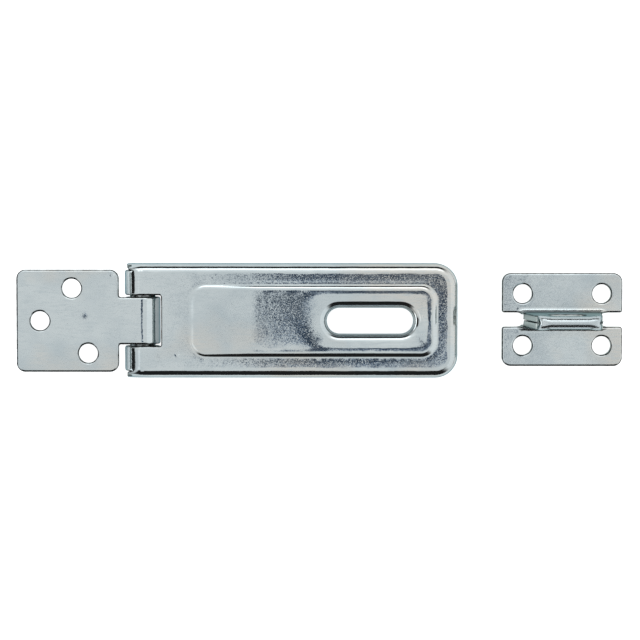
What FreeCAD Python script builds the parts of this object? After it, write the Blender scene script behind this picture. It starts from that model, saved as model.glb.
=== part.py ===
import FreeCAD, Part
import math
import os

# Padlock hasp of zinc-plated pressed steel, with its folded staple lying beside it. Millimetres, +Z up.
# X runs along the strap, from the screw leaf to the staple. The strap lies on its rims with its outer
# side up, the leaf opened flat. The origin is under the middle of the whole set, on the surface it lies on.

# The sheet of the leaf and the strap, and the hinge that it is rolled into. Reaches are from the pin.
sheet = 1.25
pin_dia = 6.7
pin_play = 0.05
pin_end_play = 0.15
roll_wrap = 300.0

# The strap that swings over the leaf and the staple
strap_reach = 82.7
strap_width = 30.0
strap_corner = 5.9
rim_bend = 2.6
tongue_play = 0.55
window_play = 0.5
window_corner = 0.5
knuckle_play = 0.55
slit_reach = 2.9
rim_end = 4.1
rim_end_corner = 1.5

# The panel raised in the strap, by the flat left round it, and the slot with its lip turned down. The
# panel starts with a gentle ramp at the pin end.
panel_from_pin = 12.8
panel_from_end = 5.6
panel_from_side = 5.7
panel_corner = 4.1
panel_rise = 0.6
panel_slope = 41.0
panel_ramp = 18.0
panel_top_bend = 2.1
panel_foot_bend = 0.3
slot_from_panel_end = 6.1
slot_length = 22.6
slot_width = 6.75
lip_bend = 2.4
lip_depth = 3.0

# The leaf that is screwed down, folding between the strap's rims, and its holes by their edge distances
fold_play = 0.4
leaf_reach = 32.6
shoulder_reach = 5.9
leaf_corner = 2.3
tongue_width = 12.3
tongue_corner = 0.6
leaf_hole_dia = 5.0
leaf_hole_from_side = 4.85
leaf_hole_from_end = 6.1
leaf_hole_from_shoulder = 8.0
leaf_hole_stagger = 4.3

# The staple, folded from one strip of thicker sheet
staple_gap = 12.1
staple_length = 31.8
staple_width = 24.6
staple_sheet = 1.8
staple_corner = 2.3
staple_bend = 1.45
fold_gap = 0.2
loop_height = 20.5
loop_foot = 20.6
loop_top = 16.4
loop_corner = 1.8
notch_corner = 0.6
staple_hole_dia = 5.0
staple_hole_length = 20.9
staple_hole_width = 13.75
eye_width = 9.6
eye_height = 7.6
eye_corner = 3.4
eye_bar = 3.7
waist_length = 12.4
waist_depth = 0.4

# Worked out from the sizes above
bore_r = pin_dia / 2 + pin_play
barrel_r = bore_r + sheet
axis_z = barrel_r
strap_top = 2 * barrel_r
panel_top = strap_top + panel_rise
panel_end = strap_reach - panel_from_end
panel_half = strap_width / 2 - panel_from_side
slot_centre = panel_end - slot_from_panel_end - slot_length / 2
rim_inside = strap_width / 2 - sheet
leaf_half = rim_inside - fold_play
knuckle_inner = tongue_width / 2 + tongue_play
knuckle_outer = rim_inside - knuckle_play
window_end = barrel_r + window_play
total_length = leaf_reach + strap_reach + staple_gap + staple_length
axis_x = leaf_reach - total_length / 2
staple_x = total_length / 2 - staple_length / 2

# How far cutting solids run past what they cut, the slack in finding edges, and the smallest fillet worth
# making. A slot's end radius is just under half its width, which keeps its outline's straight ends.
past = 5.0
slack = 1e-3
least_fillet = 0.1
slot_end_share = 0.999

Vec = FreeCAD.Vector


def flat(a, b):
    """A point of a plan outline."""
    return Vec(a, b, 0)


def upright(a, b):
    """A point of an outline seen from the front, across X and Z."""
    return Vec(a, 0, b)


def endways(a, b):
    """A point of an outline seen from the end, across Y and Z."""
    return Vec(0, a, b)


def rounded_wire(corners, place):
    """Closed outline through corners (a, b, radius), each corner rounded by its radius."""
    spans = []
    count = len(corners)
    for i in range(count):
        a, b, radius = corners[i]
        corner = Vec(a, b, 0)
        before = Vec(*corners[i - 1][:2], 0) - corner
        after = Vec(*corners[(i + 1) % count][:2], 0) - corner
        half_turn = before.getAngle(after) / 2
        before.normalize()
        after.normalize()
        start = corner + before * (radius / math.tan(half_turn))
        end = corner + after * (radius / math.tan(half_turn))
        middle = (before + after).normalize()
        bulge = corner + middle * (radius / math.sin(half_turn) - radius)
        spans.append((start, bulge, end, radius))
    edges = []
    for i in range(count):
        start, bulge, end, radius = spans[i]
        following = spans[(i + 1) % count][0]
        if radius > 0:
            arc = Part.Arc(place(start.x, start.y), place(bulge.x, bulge.y), place(end.x, end.y))
            edges.append(arc.toShape())
        if end.distanceToPoint(following) > slack:
            edges.append(Part.makeLine(place(end.x, end.y), place(following.x, following.y)))
    return Part.Wire(edges)


def prism(wire, start, length):
    """The outline's solid, begun at the vector start and drawn out along the vector length."""
    solid = Part.Face(wire).extrude(length)
    solid.translate(start)
    return solid


def rectangle(x0, x1, y0, y1, radii):
    """Corners of a rectangle, from its left near one round to its left far one."""
    return [(x0, y0, radii[0]), (x1, y0, radii[1]), (x1, y1, radii[2]), (x0, y1, radii[3])]


def slab(x0, x1, y0, y1, z0, z1):
    """A plain block between two corners."""
    return Part.makeBox(x1 - x0, y1 - y0, z1 - z0, Vec(x0, y0, z0))


def obround(length, width, z0, z1):
    """A slot-shaped solid along X about the Z axis."""
    end = width / 2 * slot_end_share
    outline = rectangle(-length / 2, length / 2, -width / 2, width / 2, [end] * 4)
    return prism(rounded_wire(outline, flat), Vec(0, 0, z0), Vec(0, 0, z1 - z0))


def post(x, y, dia, z0, z1):
    """A round solid along Z, such as a hole to cut."""
    return Part.makeCylinder(dia / 2, z1 - z0, Vec(x, y, z0))


def edges_where(shape, test):
    """The edges whose middle point passes the test."""
    found = []
    for edge in shape.Edges:
        middle = edge.valueAt((edge.FirstParameter + edge.LastParameter) / 2)
        if test(middle):
            found.append(edge)
    return found


def roll(from_angle, to_angle, y0, y1):
    """Sheet rolled round the pin, from one angle to another, seen from the front with X to the right."""
    def at(radius, angle):
        turn = math.radians(angle)
        return upright(radius * math.cos(turn), axis_z + radius * math.sin(turn))

    middle = (from_angle + to_angle) / 2
    outside = Part.Arc(at(barrel_r, from_angle), at(barrel_r, middle), at(barrel_r, to_angle))
    inside = Part.Arc(at(bore_r, to_angle), at(bore_r, middle), at(bore_r, from_angle))
    edges = [
        outside.toShape(),
        Part.makeLine(at(barrel_r, to_angle), at(bore_r, to_angle)),
        inside.toShape(),
        Part.makeLine(at(bore_r, from_angle), at(barrel_r, from_angle)),
    ]
    return prism(Part.Wire(edges), Vec(0, y0, 0), Vec(0, y1 - y0, 0))


def hinge_leaf():
    """Flat plate with three screw holes and a tongue that rolls down round the far side of the pin."""
    half = leaf_half
    tongue = tongue_width / 2
    hole_side = half - leaf_hole_from_side
    hole_near = shoulder_reach + leaf_hole_from_shoulder
    holes = [
        (-hole_near, -hole_side),
        (-hole_near - leaf_hole_stagger, hole_side),
        (leaf_hole_from_end - leaf_reach, 0),
    ]
    outline = [
        (-leaf_reach, -half, leaf_corner),
        (-shoulder_reach, -half, leaf_corner),
        (-shoulder_reach, -tongue, tongue_corner),
        (0, -tongue, 0),
        (0, tongue, 0),
        (-shoulder_reach, tongue, tongue_corner),
        (-shoulder_reach, half, leaf_corner),
        (-leaf_reach, half, leaf_corner),
    ]
    leaf = prism(rounded_wire(outline, flat), Vec(0, 0, strap_top - sheet), Vec(0, 0, sheet))
    for x, y in holes:
        leaf = leaf.cut(post(x, y, leaf_hole_dia, 0, strap_top + past))
    leaf = leaf.fuse(roll(90 - roll_wrap, 90, -tongue, tongue))
    return leaf.removeSplitter()


def raised_panel(inset):
    """The panel's frustum, with its face moved inwards by inset, measured square to the sheet."""
    slope = math.radians(panel_slope)
    ramp = math.radians(panel_ramp)
    levels = []
    for z in (strap_top - inset - sheet / 2, panel_top - inset):
        back = (z - strap_top) / math.tan(slope) + inset / math.sin(slope)
        ramp_back = (z - strap_top) / math.tan(ramp) + inset / math.sin(ramp)
        half = panel_half - back
        radii = [panel_corner - back] * 4
        corners = rectangle(panel_from_pin + ramp_back, panel_end - back, -half, half, radii)
        wire = rounded_wire(corners, flat)
        wire.translate(Vec(0, 0, z))
        levels.append(wire)
    return Part.makeLoft(levels, True, True)


def strap_skin(inset, z0):
    """The strap's outer form moved inwards by inset, down to z0, with its pin end left square."""
    top = strap_top - inset
    half = strap_width / 2 - inset
    end = strap_reach - inset
    start = -barrel_r - past
    corner = strap_corner - inset
    outline = rectangle(start, end, -half, half, [0, corner, corner, 0])
    skin = prism(rounded_wire(outline, flat), Vec(0, 0, z0), Vec(0, 0, top - z0))

    def on_top_edge(p):
        return abs(p.z - top) < slack and p.x > start + slack

    skin = skin.makeFillet(rim_bend - inset, edges_where(skin, on_top_edge))
    skin = skin.fuse(raised_panel(inset))

    def on_panel_foot(p):
        beside = panel_from_pin - slack < p.x < panel_end + slack
        return abs(p.z - top) < slack and beside and abs(p.y) < panel_half + slack

    skin = skin.makeFillet(panel_foot_bend + inset, edges_where(skin, on_panel_foot))
    if panel_top_bend - inset > least_fillet:
        crown = edges_where(skin, lambda p: abs(p.z - panel_top + inset) < slack)
        skin = skin.makeFillet(panel_top_bend - inset, crown)
    return skin


def pin_end_waste(radius):
    """What lies outside a quarter round of this radius about the pin, over the strap's pin end."""
    turn = math.radians(135)
    top = upright(0, axis_z + radius)
    bulge = upright(radius * math.cos(turn), axis_z + radius * math.sin(turn))
    side = upright(-radius, axis_z)
    far = -barrel_r - 2 * past
    high = strap_top + past
    edges = [
        Part.Arc(top, bulge, side).toShape(),
        Part.makeLine(side, upright(far, axis_z)),
        Part.makeLine(upright(far, axis_z), upright(far, high)),
        Part.makeLine(upright(far, high), upright(0, high)),
        Part.makeLine(upright(0, high), top),
    ]
    return prism(Part.Wire(edges), Vec(0, -strap_width, 0), Vec(0, 2 * strap_width, 0))


def slot_lip():
    """The turned-down collar round the slot, and the hole through it."""
    lip_bottom = panel_top - lip_depth
    collar = obround(slot_length + 2 * sheet, slot_width + 2 * sheet, lip_bottom, panel_top - sheet / 2)
    hole = obround(slot_length, slot_width, -past, panel_top + past)
    for piece in (collar, hole):
        piece.translate(Vec(slot_centre, 0, 0))
    return collar, hole


def hasp_strap():
    """Pressed cover: rims turned down round three sides, a raised panel, a lipped slot, two knuckles."""
    outer = strap_skin(0, 0)
    inner = strap_skin(sheet, -past)
    knuckle_form = outer.copy()
    strap = outer.cut(pin_end_waste(barrel_r))
    strap = strap.cut(inner.cut(pin_end_waste(bore_r)))

    collar, hole = slot_lip()
    strap = strap.fuse(collar).cut(hole).removeSplitter()

    def round_slot(p, z, margin):
        near_x = abs(p.x - slot_centre) < slot_length / 2 + margin + slack
        return near_x and abs(p.y) < slot_width / 2 + margin + slack and abs(p.z - z) < slack

    root = edges_where(strap, lambda p: round_slot(p, panel_top - sheet, sheet))
    strap = strap.makeFillet(lip_bend - sheet, root)
    mouth = edges_where(strap, lambda p: round_slot(p, panel_top, 0))
    strap = strap.makeFillet(lip_bend, mouth)

    # The pin end: a window for the leaf's tongue, slits beside the knuckles, and short rim ends
    far = -barrel_r - past
    window = rectangle(far, window_end, -knuckle_inner, knuckle_inner, [0, window_corner, window_corner, 0])
    strap = strap.cut(prism(rounded_wire(window, flat), Vec(0, 0, -past), Vec(0, 0, strap_top + 2 * past)))
    strap = strap.cut(slab(far, 0, -rim_inside, rim_inside, -past, axis_z))
    for side in (-1, 1):
        near, away = sorted((side * knuckle_outer, side * rim_inside))
        strap = strap.cut(slab(far, -slit_reach, near, away, -past, strap_top + past))
        near, away = sorted((side * knuckle_outer, side * strap_width))
        rim_form = rectangle(-rim_end, strap_reach + past, 0, strap_top + past, [rim_end_corner, 0, 0, 0])
        kept = prism(rounded_wire(rim_form, upright), Vec(0, near, 0), Vec(0, away - near, 0))
        waste = slab(far, 0, near, away, -past, strap_top + past).cut(kept)
        strap = strap.cut(waste)
        near, away = sorted((side * knuckle_inner, side * knuckle_outer))
        strap = strap.fuse(roll(180, 90 + roll_wrap, near, away).common(knuckle_form))
    return strap.removeSplitter()


def hinge_pin():
    """Plain pin, held endways by the strap's rims, its ends chamfered to clear the inside of their bends."""
    length = 2 * (rim_inside - pin_end_play)
    chamfer = rim_bend - sheet + pin_end_play
    pin = Part.makeCylinder(pin_dia / 2, length, Vec(0, -length / 2, axis_z), Vec(0, 1, 0))
    ends = edges_where(pin, lambda p: abs(abs(p.y) - length / 2) < slack)
    return pin.makeChamfer(chamfer, ends)


def fold_profile():
    """Half-and-half section of the staple: plate, bend, standing layer, hairpin, and back down."""
    thick = staple_sheet
    inside = fold_gap / 2
    outside = inside + thick
    tangent = outside + staple_bend
    crown = loop_height - outside
    bend_z = thick + staple_bend
    root = math.sqrt(0.5)

    def bend(side, radius, outward):
        start = endways(side * tangent, bend_z - radius)
        middle = endways(side * (tangent - radius * root), bend_z - radius * root)
        end = endways(side * (tangent - radius), bend_z)
        points = (start, middle, end) if outward else (end, middle, start)
        return Part.Arc(*points).toShape()

    def hairpin(radius):
        return Part.Arc(endways(radius, crown), endways(0, crown + radius), endways(-radius, crown)).toShape()

    edges = [
        bend(1, thick + staple_bend, True),
        Part.makeLine(endways(inside, bend_z), endways(inside, crown)),
        hairpin(inside),
        Part.makeLine(endways(-inside, crown), endways(-inside, bend_z)),
        bend(-1, thick + staple_bend, False),
        Part.makeLine(endways(-tangent, 0), endways(-tangent, thick)),
        bend(-1, staple_bend, True),
        Part.makeLine(endways(-outside, bend_z), endways(-outside, crown)),
        hairpin(outside),
        Part.makeLine(endways(outside, crown), endways(outside, bend_z)),
        bend(1, staple_bend, False),
        Part.makeLine(endways(tangent, thick), endways(tangent, 0)),
    ]
    return Part.Wire(Part.__sortEdges__(edges))


def staple():
    """Strip folded into a standing double loop with an eye, its two ends flat plates with screw holes."""
    foot = loop_foot / 2
    layer_face = fold_gap / 2 + staple_sheet
    tangent = layer_face + staple_bend
    loop = prism(fold_profile(), Vec(-foot, 0, 0), Vec(loop_foot, 0, 0))
    side_form = [
        (-foot, -past, 0),
        (foot, -past, 0),
        (foot, staple_sheet + staple_bend, 0),
        (loop_top / 2, loop_height, loop_corner),
        (-loop_top / 2, loop_height, loop_corner),
        (-foot, staple_sheet + staple_bend, 0),
    ]
    loop = loop.common(prism(rounded_wire(side_form, upright), Vec(0, -past, 0), Vec(0, 2 * past, 0)))
    eye_top = loop_height - eye_bar
    eye = rectangle(-eye_width / 2, eye_width / 2, eye_top - eye_height, eye_top, [eye_corner] * 4)
    loop = loop.cut(prism(rounded_wire(eye, upright), Vec(0, -past, 0), Vec(0, 2 * past, 0)))
    waist_r = ((waist_length / 2) ** 2 + waist_depth**2) / (2 * waist_depth)
    for side in (-1, 1):
        waist_y = side * (layer_face - waist_depth + waist_r)
        loop = loop.cut(post(0, waist_y, 2 * waist_r, eye_top - eye_height / 2, loop_height + past))

    half = staple_length / 2
    pieces = []
    for side in (-1, 1):
        outline = [
            (-half, side * layer_face, notch_corner),
            (-foot, side * layer_face, 0),
            (-foot, side * tangent, 0),
            (foot, side * tangent, 0),
            (foot, side * layer_face, 0),
            (half, side * layer_face, notch_corner),
            (half, side * staple_width / 2, staple_corner),
            (-half, side * staple_width / 2, staple_corner),
        ]
        plate = prism(rounded_wire(outline, flat), Vec(0, 0, 0), Vec(0, 0, staple_sheet))
        for x in (-staple_hole_length / 2, staple_hole_length / 2):
            plate = plate.cut(post(x, side * staple_hole_width / 2, staple_hole_dia, -past, past))
        pieces.append(plate)
    return loop.fuse(pieces).removeSplitter()


os.makedirs("parts", exist_ok=True)
places = {
    "hinge_leaf": (hinge_leaf(), axis_x),
    "hasp_strap": (hasp_strap(), axis_x),
    "hinge_pin": (hinge_pin(), axis_x),
    "staple": (staple(), staple_x),
}
for name, (shape, x) in places.items():
    shape.translate(Vec(x, 0, 0))
    shape.exportStep("parts/" + name + ".step")
    print(name, "valid" if shape.isValid() else "BROKEN", len(shape.Solids), "solid", round(shape.Volume, 1))
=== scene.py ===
import bpy
import math
import numpy as np
from mathutils import Matrix, Vector
from mathutils.geometry import delaunay_2d_cdt


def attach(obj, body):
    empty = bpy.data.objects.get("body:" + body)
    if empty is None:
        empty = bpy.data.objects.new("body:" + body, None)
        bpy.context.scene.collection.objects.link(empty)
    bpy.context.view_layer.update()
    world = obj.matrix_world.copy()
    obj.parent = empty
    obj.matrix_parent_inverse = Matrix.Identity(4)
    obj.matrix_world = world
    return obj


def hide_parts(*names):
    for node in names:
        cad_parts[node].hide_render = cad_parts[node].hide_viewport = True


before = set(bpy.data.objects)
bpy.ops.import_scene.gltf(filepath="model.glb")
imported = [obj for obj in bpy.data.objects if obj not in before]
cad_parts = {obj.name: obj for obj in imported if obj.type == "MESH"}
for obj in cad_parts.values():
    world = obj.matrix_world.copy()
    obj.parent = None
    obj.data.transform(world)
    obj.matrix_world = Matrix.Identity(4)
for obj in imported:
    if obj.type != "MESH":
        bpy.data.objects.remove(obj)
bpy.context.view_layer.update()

# A zinc-plated padlock hasp, opened flat, with its staple beside it. Everything below is in millimetres
# until a mesh is finished. Each pressed piece starts as a flat blank, which is formed, curled round its
# fold path by Geometry Nodes, and given its sheet's thickness.
mm = 0.001
sharpAngle = 62.0  # a crease turns by more than this, in degrees
pathSpare = 1.0  # how far each fold path runs on past its blank
# the pin's axis, the rolls round it and how far they go, in degrees, the height of the flats, and the
# turn from row to row and along a fold path
hinge = {"x": -47.0, "z": 4.65, "barrel": 4.65, "wrap": 300.0, "spareTurn": 8.0, "top": 9.3,
         "rollStep": 7.5, "pathStep": 1.0}


def hexColour(code):
    parts = [int(code[i:i + 2], 16) / 255 for i in (1, 3, 5)]
    return [p / 12.92 if p <= 0.04045 else ((p + 0.055) / 1.055) ** 2.4 for p in parts] + [1.0]


def addNode(tree, kind, inputs=None, **settings):
    node = tree.nodes.new(kind)
    for key, value in settings.items():
        setattr(node, key, value)
    for key, value in (inputs or {}).items():
        if isinstance(value, bpy.types.NodeSocket):
            tree.links.new(value, node.inputs[key])
        else:
            node.inputs[key].default_value = value
    return node


def maths(tree, operation, *values):
    return addNode(tree, "ShaderNodeMath", dict(enumerate(values)), operation=operation).outputs[0]


def vectorMaths(tree, operation, first, second=(0, 0, 0)):
    # the second is a number for SCALE, and so is the result of DOT_PRODUCT
    other = "Scale" if operation == "SCALE" else 1
    node = addNode(tree, "ShaderNodeVectorMath", {0: first, other: second}, operation=operation)
    return node.outputs["Value" if operation == "DOT_PRODUCT" else "Vector"]


def newMaterial(name):
    material = bpy.data.materials.new(name)
    material.use_nodes = True
    material.node_tree.nodes.clear()
    return material, material.node_tree


def smooth(low, high, value):
    # 0 at low, 1 at high, eased between them, whichever of the two is larger
    t = min(max((value - low) / (high - low), 0.0), 1.0)
    return t * t * (3 - 2 * t)


def roundedOutline(corners, turn=7.5):
    # closed outline through corners (x, y, radius), arcs cut every few degrees
    points = []
    for i, (x, y, radius) in enumerate(corners):
        corner = Vector((x, y))
        before = (Vector(corners[i - 1][:2]) - corner).normalized()
        after = (Vector(corners[(i + 1) % len(corners)][:2]) - corner).normalized()
        if radius == 0:
            points.append((x, y))
            continue
        half = before.angle(after) / 2
        centre = corner + (before + after).normalized() * (radius / math.sin(half))
        start = corner + before * (radius / math.tan(half)) - centre
        end = corner + after * (radius / math.tan(half)) - centre
        sweep = math.copysign(math.pi - 2 * half, start.x * end.y - start.y * end.x)
        steps = max(2, math.ceil(abs(math.degrees(sweep)) / turn))
        for k in range(steps + 1):
            spoke = start.copy()
            spoke.rotate(Matrix.Rotation(sweep * k / steps, 2))
            points.append(tuple(centre + spoke))
    return points


def circle(x, y, radius, count=40):
    return [(x + radius * math.cos(t), y + radius * math.sin(t))
            for t in (2 * math.pi * k / count for k in range(count))]


def arc(centre, radius, start, end, step):
    # points (a, b) on an arc between two angles in degrees
    count = max(2, round(abs(end - start) / step))
    angles = [math.radians(start + (end - start) * k / count) for k in range(count + 1)]
    return [(centre[0] + radius * math.cos(a), centre[1] + radius * math.sin(a)) for a in angles]


def divided(points, step, closed=True):
    # the same line with its long straights cut into steps
    result = []
    last = len(points) if closed else len(points) - 1
    for i in range(last):
        a, b = Vector(points[i]), Vector(points[(i + 1) % len(points)])
        count = max(1, round((b - a).length / step))
        result += [tuple(a.lerp(b, k / count)) for k in range(count)]
    return result if closed else result + [tuple(points[-1])]


def insideLoop(points, loop):
    # even-odd test of many points against one closed loop
    px, py = points[:, 0][:, None], points[:, 1][:, None]
    a = np.array(loop)
    b = np.roll(a, -1, axis=0)
    crosses = (a[:, 1] > py) != (b[:, 1] > py)
    rise = np.where(b[:, 1] == a[:, 1], 1e-9, b[:, 1] - a[:, 1])
    return (crosses & (px < (b[:, 0] - a[:, 0]) * (py - a[:, 1]) / rise + a[:, 0])).sum(1) % 2 == 1


def insetLoop(loop, distance, sharpest=0.3):
    # the loop moved into the sheet, to its own left, and less far at the sharpest corners
    result = []
    for i, place in enumerate(loop):
        here = Vector(place)
        a = (here - Vector(loop[i - 1])).normalized()
        b = (Vector(loop[(i + 1) % len(loop)]) - here).normalized()
        normal = Vector((-a.y - b.y, a.x + b.x)).normalized()
        result.append(tuple(here + normal * distance / max(normal.dot(Vector((-a.y, a.x))), sharpest)))
    return result


def turned(loop, anticlockwise):
    area = sum(a[0] * b[1] - b[0] * a[1] for a, b in zip(loop, loop[1:] + loop[:1]))
    return loop if (area > 0) == anticlockwise else loop[::-1]


def edgeDepth(flat, loops, most=9.0, batch=2000):
    # how far each point lies from the nearest blanked edge
    depth = np.full(len(flat), most)
    for loop in loops:
        a = np.array(loop)
        along = np.roll(a, -1, axis=0) - a
        span = np.maximum((along ** 2).sum(1), 1e-12)
        for first in range(0, len(flat), batch):
            some = slice(first, first + batch)
            away = flat[some, None, :] - a[None]
            share = np.clip((away * along).sum(2) / span, 0, 1)
            gap = np.sqrt(((away - share[..., None] * along) ** 2).sum(2)).min(1)
            depth[some] = np.minimum(depth[some], gap)
    return depth


# loops inside each blanked edge, as shares of its rounding, closest together beside its crease
edgeShares = (0.05, 0.14, 0.27, 0.45, 0.7, 0.98, 1.02, 1.12)


def blankMesh(name, edge, holes, rows, fill, edgeRound, clear=0.3):
    # flat blank: outline, holes, loops for the rounded edges, rows where it bends, points on the flats
    edge = turned(edge, True)
    holes = [turned(hole, False) for hole in holes]
    points, lines = [], []
    blanked = [edge] + holes
    insets = [insetLoop(loop, edgeRound * share) for loop in blanked for share in edgeShares]
    for loop, closed in [(loop, True) for loop in blanked + insets] + rows:
        first = len(points)
        points += [Vector(p) for p in loop]
        lines += [(first + i, first + i + 1) for i in range(len(loop) - 1)]
        if closed:
            lines.append((len(points) - 1, first))
    taken = np.array([tuple(p) for p in points])
    for p in fill:
        if np.min(np.sum((taken - np.array(p)) ** 2, axis=1)) > clear ** 2:
            points.append(Vector(p))
    found = delaunay_2d_cdt(points, lines, [], 0, 1e-4)
    flat = np.array([tuple(v) for v in found[0]])
    faces = [f for f in found[2] if len(f) == 3]
    middle = np.array([flat[list(f)].mean(0) for f in faces])
    keep = insideLoop(middle, edge)
    for hole in holes:
        keep &= ~insideLoop(middle, hole)
    mesh = bpy.data.meshes.new(name)
    mesh.from_pydata([(x, y, 0) for x, y in flat], [], [f for f, k in zip(faces, keep) if k])
    mesh.update()
    if sum(p.normal.z for p in mesh.polygons) < 0:
        mesh.flip_normals()
    depth = mesh.attributes.new("edgeDepth", "FLOAT", "POINT")
    depth.data.foreach_set("value", edgeDepth(flat, blanked))
    return mesh


def grid(x0, x1, y0, y1, step):
    # staggered points that fill a flat
    points = []
    for j in range(int((y1 - y0) / step) + 1):
        shift = step / 2 if j % 2 else 0
        for i in range(int((x1 - x0) / step) + 1):
            points.append((x0 + i * step + shift, y0 + j * step))
    return points


# patterns by their size in mm; a span says where in its pattern a change starts and where it is full
plating = {
    "pale": "#C2CBCD", "shaded": "#B3BEC2", "warm": "#C6C6C1", "edgeOn": "#84A9B3", "grazing": "#9DB8BF",
    "smear": 14.0, "smearSpan": (0.38, 0.62), "stain": 30.0, "stainSpan": (0.47, 0.6), "stainMost": 0.85,
    "rolled": 0.5, "rolledSpan": (0.5, 0.68), "rolledMost": 0.55, "rolledAngle": 40.0, "rolledRun": 0.16,
    "edgeOnSpan": (0.62, 0.94), "orangePeel": 2.6, "peelHeight": 0.008,
    # the dark edge colour and where it starts and is full are painted shade along the blanked edges
    "paintedEdgeShade": "#2E2B28", "paintedShadeFrom": 0.34, "paintedShadeTo": 0.2, "patch": 1.6, "patchSpan": (0.35, 0.6),
    "patchLeast": 0.45,
    "roughSpan": (0.35, 0.65), "roughLow": 0.07, "roughHigh": 0.11,
    "facet": 0.2, "tilt": 0.018, "frosted": 0.23, "frostedShare": 0.27,
    "burnishFull": 0.5, "burnishedFrost": 0.12, "workedRough": 0.0,
}
cutEdge = {"colour": "#C2CAC8", "rough": 0.35, "grazing": "#B4C2C2", "drag": 0.25, "dragHeight": 0.02}


def zincPlate(name, sizes):
    # Bright zinc plate on cold-rolled sheet, blue passivated: a bluish mirror of tiny zinc facets, with
    # faint rolling marks across it, slightly cloudy where it was handled, and teal when seen edge-on.
    material, tree = newMaterial(name)
    place = addNode(tree, "ShaderNodeTexCoord").outputs["Object"]

    def cloud(size, detail, stretched=(1, 1, 1)):
        across = addNode(tree, "ShaderNodeMapping", {
            "Vector": place, "Rotation": (0, 0, math.radians(sizes["rolledAngle"])), "Scale": stretched})
        return addNode(tree, "ShaderNodeTexNoise", {
            "Vector": across.outputs["Vector"], "Scale": 1 / (size * mm), "Detail": detail,
            "Roughness": 0.55}).outputs["Fac"]

    def spread(value, start, end, low, high):
        return addNode(tree, "ShaderNodeMapRange", {
            "Value": value, "From Min": start, "From Max": end,
            "To Min": low, "To Max": high}).outputs["Result"]

    def tinted(under, over, share):
        return addNode(tree, "ShaderNodeMix", {"Factor": share, 6: under, 7: over},
                       data_type="RGBA").outputs[2]

    smear = cloud(sizes["smear"], 4.0)
    rolled = cloud(sizes["rolled"], 2.0, (sizes["rolledRun"], 1, 1))
    colour = tinted(hexColour(sizes["pale"]), hexColour(sizes["shaded"]),
                    spread(smear, *sizes["smearSpan"], 0, 1))
    stain = spread(cloud(sizes["stain"], 3.0), *sizes["stainSpan"], 0, sizes["stainMost"])
    colour = tinted(colour, hexColour(sizes["warm"]), stain)
    streak = spread(rolled, *sizes["rolledSpan"], 0, sizes["rolledMost"])
    colour = tinted(colour, hexColour(sizes["shaded"]), streak)
    facing = addNode(tree, "ShaderNodeLayerWeight", {"Blend": 0.5}).outputs["Facing"]
    colour = tinted(colour, hexColour(sizes["edgeOn"]), spread(facing, *sizes["edgeOnSpan"], 0, 1))
    peel = addNode(tree, "ShaderNodeBump", {
        "Height": cloud(sizes["orangePeel"], 2.0), "Strength": 1.0, "Distance": sizes["peelHeight"] * mm})

    # painted shade: a dark band is painted along the rounded blanked edge, in patches, standing in for
    # the dark that its rounding mirrors
    edge = addNode(tree, "ShaderNodeAttribute", attribute_name="edgeDepth").outputs["Fac"]
    patchy = spread(cloud(sizes["patch"], 2.0), *sizes["patchSpan"], sizes["patchLeast"], 1.0)
    paintedEdgeShade = spread(edge, sizes["paintedShadeFrom"], sizes["paintedShadeTo"], 0.0, 1.0)
    colour = tinted(colour, hexColour(sizes["paintedEdgeShade"]), maths(tree, "MULTIPLY", paintedEdgeShade, patchy))

    # each facet leans its own way a little, and some are frosted unless the press has burnished them
    burnish = addNode(tree, "ShaderNodeAttribute", attribute_name="burnish").outputs["Fac"]
    facet = addNode(tree, "ShaderNodeTexVoronoi", {"Vector": place, "Scale": 1 / (sizes["facet"] * mm)})
    random = addNode(tree, "ShaderNodeSeparateColor", {"Color": facet.outputs["Color"]}).outputs
    clear = spread(smear, *sizes["roughSpan"], sizes["roughLow"], sizes["roughHigh"])
    frost = spread(random["Blue"], 1 - sizes["frostedShare"], 1.0, 0.0, sizes["frosted"])
    left = spread(burnish, 0.0, sizes["burnishFull"], 1.0, sizes["burnishedFrost"])
    bent = spread(burnish, 0.0, sizes["burnishFull"], 0.0, sizes["workedRough"])
    rough = maths(tree, "ADD", maths(tree, "MULTIPLY_ADD", frost, left, clear), bent)
    centred = vectorMaths(tree, "SUBTRACT", facet.outputs["Color"], (0.5, 0.5, 0.5))
    lean = vectorMaths(tree, "SCALE", centred, sizes["tilt"])
    normal = vectorMaths(tree, "NORMALIZE", vectorMaths(tree, "ADD", peel.outputs["Normal"], lean))
    shader = addNode(tree, "ShaderNodeBsdfPrincipled", {
        "Base Color": colour, "Metallic": 1.0, "Roughness": rough,
        "Specular Tint": hexColour(sizes["grazing"]), "Normal": normal})
    addNode(tree, "ShaderNodeOutputMaterial", {"Surface": shader.outputs["BSDF"]})
    return material


def shearedEdge(name, sizes):
    # The blanked edge of the sheet: torn by the punch, so its zinc is thin and dull, with drag marks.
    material, tree = newMaterial(name)
    place = addNode(tree, "ShaderNodeTexCoord").outputs["Object"]
    drag = addNode(tree, "ShaderNodeTexNoise", {
        "Vector": place, "Scale": 1 / (sizes["drag"] * mm), "Detail": 2.0})
    marks = addNode(tree, "ShaderNodeBump", {
        "Height": drag.outputs["Fac"], "Strength": 1.0, "Distance": sizes["dragHeight"] * mm})
    shader = addNode(tree, "ShaderNodeBsdfPrincipled", {
        "Base Color": hexColour(sizes["colour"]), "Metallic": 1.0, "Roughness": sizes["rough"],
        "Specular Tint": hexColour(sizes["grazing"]), "Normal": marks.outputs["Normal"]})
    addNode(tree, "ShaderNodeOutputMaterial", {"Surface": shader.outputs["BSDF"]})
    return material


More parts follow.
